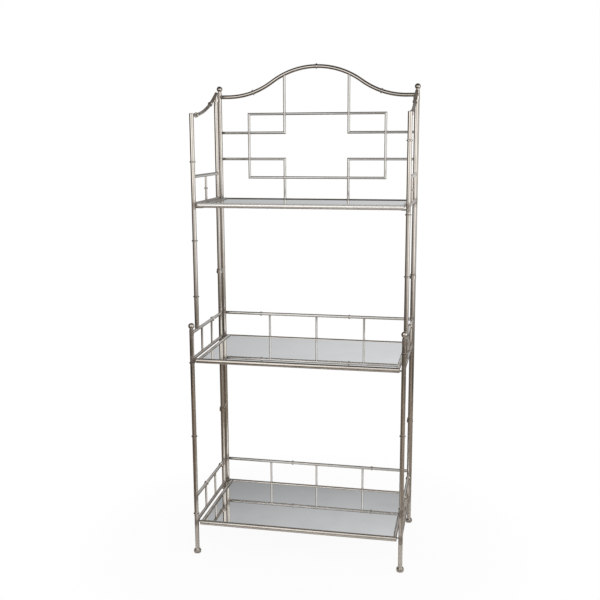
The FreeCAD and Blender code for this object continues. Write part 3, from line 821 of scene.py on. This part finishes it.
PALE_TINT = (1.0, 0.99, 0.97, 1.0)
BACKDROP_RISE = (0.35, 1.3, 0.20, 0.72)
BACKDROP_TOP = (1.75, 1.25, 0.42, 1.0)
BACKDROP_ACROSS = (-1.2, 0.4, 0.80, 1.05)  # in metres to the right
BACKDROP_START = (2.1, 2.5)
BACKDROP_TINT = (0.985, 1.0, 1.01, 1.0)


def wall_material():
    """Round wall that only reflections show: a bright band high in front, dim sides and a graded backdrop."""
    material, nodes, ray, at = stage_material("studio_wall")
    place = nodes.split(at)
    height = place["Z"]
    turn = nodes.math("ARCTAN2", place["X"], nodes.math("MULTIPLY", place["Y"], -1.0))

    middle_share = nodes.product(nodes.fade(turn, *MIDDLE_LEFT), nodes.fade(turn, *MIDDLE_RIGHT))
    low = nodes.product(nodes.fade(height, *FRONT_RISE), nodes.fade(turn, *FRONT_LEFT),
                        nodes.fade(turn, *FRONT_RIGHT), nodes.fade(height, *FRONT_TOP),
                        nodes.fade(middle_share, 0.0, 1.0, 1.0, MIDDLE_TONE))
    band = nodes.product(nodes.fade(height, *BAND_FOOT), nodes.fade(height, *BAND_TOP),
                         nodes.fade(turn, *BAND_LEFT), nodes.fade(turn, *BAND_RIGHT))
    strip = nodes.product(nodes.fade(turn, *STRIP_LEFT), nodes.fade(turn, *STRIP_RIGHT),
                          nodes.fade(height, *STRIP_FOOT))
    front = nodes.math("MULTIPLY_ADD", band, BAND_STRENGTH, low)
    front = nodes.math("MULTIPLY_ADD", strip, STRIP_STRENGTH, front)
    tint = nodes.mix(nodes.fade(front, *TINT_RANGE), WARM_TINT, PALE_TINT)

    back = nodes.product(nodes.fade(height, *BACKDROP_RISE), nodes.fade(height, *BACKDROP_TOP),
                         nodes.fade(place["X"], *BACKDROP_ACROSS))
    behind = nodes.fade(nodes.math("ABSOLUTE", turn), *BACKDROP_START)
    colour = nodes.mix(behind, tint, BACKDROP_TINT)
    before = nodes.math("SUBTRACT", 1.0, behind)
    strength = nodes.math("ADD", nodes.product(front, before), nodes.product(back, behind))
    light = nodes.glow(colour, strength)
    nodes.surface("Material", nodes.blend(ray["Is Glossy Ray"], nodes.see_through(), light))
    return material


# Softbox: where its light starts and ends, in metres from the middle
SOFTBOX_SIZE = 2.4
SOFTBOX_AT = (0, -1.5, 2.1)
SOFTBOX_SIDES = (1.2, 0.7)
SOFTBOX_FRONT = (-2.3, -1.9)
SOFTBOX_REAR = (-0.7, -1.0)
SOFTBOX_TINT = (1.0, 0.985, 0.965, 1.0)
SOFTBOX_STRENGTH = 1.3


def softbox_material():
    """Soft light overhead that only reflections show, brightest in the middle."""
    material, nodes, ray, at = stage_material("studio_softbox")
    place = nodes.split(at)
    across = nodes.fade(nodes.math("ABSOLUTE", place["X"]), *SOFTBOX_SIDES)
    along = nodes.product(nodes.fade(place["Y"], *SOFTBOX_FRONT), nodes.fade(place["Y"], *SOFTBOX_REAR))
    share = nodes.product(across, along, ray["Is Glossy Ray"])
    light = nodes.glow(SOFTBOX_TINT, SOFTBOX_STRENGTH)
    nodes.surface("Material", nodes.blend(share, nodes.see_through(), light))
    return material


def stage_piece(name, material):
    """Finish the studio piece that was just added: its name, its place in its mesh, and its material."""
    piece = bpy.context.object
    piece.name = name
    bpy.ops.object.transform_apply(location=True, rotation=True, scale=True)
    piece.data.materials.append(material)
    return piece


# Lamps and camera
KEY_AT = (1.2, -3.2, 3.2)
FILL_AT = (3.4, -0.8, 2.0)
LAMP_TARGET = (0, 0, 0.9)
LAMP_SIZE = 2.0
SENSOR_WIDTH = 36.0


def add_lamp(name, at, power):
    """Soft area lamp that faces the middle of the rack."""
    turn = (Vector(LAMP_TARGET) - Vector(at)).to_track_quat("-Z", "Y").to_euler()
    bpy.ops.object.light_add(type="AREA", location=at, rotation=turn)
    lamp = bpy.context.object
    lamp.name = name
    lamp.data.shape = "SQUARE"
    lamp.data.size = LAMP_SIZE
    lamp.data.energy = power
    lamp.visible_glossy = False


class RackStudio(bpy.types.Operator):
    """Floor, light and camera"""

    bl_idname = "rack.studio"
    bl_label = "Studio and camera"

    def execute(self, context):
        stage = context.scene.rack_stage
        clear_selection()
        bpy.ops.mesh.primitive_plane_add(size=FLOOR_SIZE, location=(0, 0, -FLOOR_DROP))
        floor = stage_piece("studio_floor", floor_material(stage))
        bpy.ops.mesh.primitive_cylinder_add(vertices=WALL_SEGMENTS, radius=WALL_R, depth=WALL_H,
                                            end_fill_type="NOTHING", location=WALL_AT)
        wall = stage_piece("studio_wall", wall_material())
        bpy.ops.mesh.primitive_plane_add(size=SOFTBOX_SIZE, location=SOFTBOX_AT)
        softbox = stage_piece("studio_softbox", softbox_material())
        studio_world()
        add_lamp("key_lamp", KEY_AT, stage.key_power)
        add_lamp("fill_lamp", FILL_AT, stage.fill_power)
        pitch, roll, yaw = stage.camera_turn
        turn = Matrix.Rotation(yaw, 3, "Z") @ Matrix.Rotation(pitch, 3, "X") @ Matrix.Rotation(roll, 3, "Z")
        bpy.ops.object.camera_add(location=stage.camera_at, rotation=turn.to_euler())
        camera = context.object
        camera.name = "photo_camera"
        camera.data.lens = stage.lens
        camera.data.sensor_width = SENSOR_WIDTH
        context.scene.camera = camera
        context.scene.view_settings.view_transform = "Standard"
        return {"FINISHED"}


OPERATORS = (RackUprights, RackCrossRails, RackSideRails, RackFret, RackTurnings, RackPins, RackMirrors,
             RackBrazedJoints, RackStudio)


class RackPanel(bpy.types.Panel):
    """Lists the rack's steps and values"""

    bl_idname = "VIEW3D_PT_bakers_rack"
    bl_label = "Bakers Rack"
    bl_space_type = "VIEW_3D"
    bl_region_type = "UI"
    bl_category = "Bakers Rack"

    def draw(self, context):
        layout = self.layout
        for values in (context.scene.rack_finish, context.scene.rack_braze, context.scene.rack_stage):
            column = layout.column()
            for name in values.__annotations__:
                column.prop(values, name)
        for operator in OPERATORS:
            layout.operator(operator.bl_idname)


CLASSES = (RackFinish, RackBraze, RackStage) + OPERATORS + (RackPanel,)


def register():
    """Register the classes and the scene's values."""
    for item in CLASSES:
        bpy.utils.register_class(item)
    bpy.types.Scene.rack_finish = bpy.props.PointerProperty(type=RackFinish)
    bpy.types.Scene.rack_braze = bpy.props.PointerProperty(type=RackBraze)
    bpy.types.Scene.rack_stage = bpy.props.PointerProperty(type=RackStage)


def unregister():
    """Remove the scene's values and the classes."""
    del bpy.types.Scene.rack_stage
    del bpy.types.Scene.rack_braze
    del bpy.types.Scene.rack_finish
    for item in reversed(CLASSES):
        bpy.utils.unregister_class(item)


def main():
    """Dress and light the rack."""
    register()
    bpy.ops.rack.uprights()
    bpy.ops.rack.cross_rails()
    bpy.ops.rack.side_rails()
    bpy.ops.rack.fret()
    bpy.ops.rack.turnings()
    bpy.ops.rack.pins()
    bpy.ops.rack.mirrors()
    bpy.ops.rack.brazed_joints()
    bpy.ops.rack.studio()


if __name__ == "__main__":
    main()
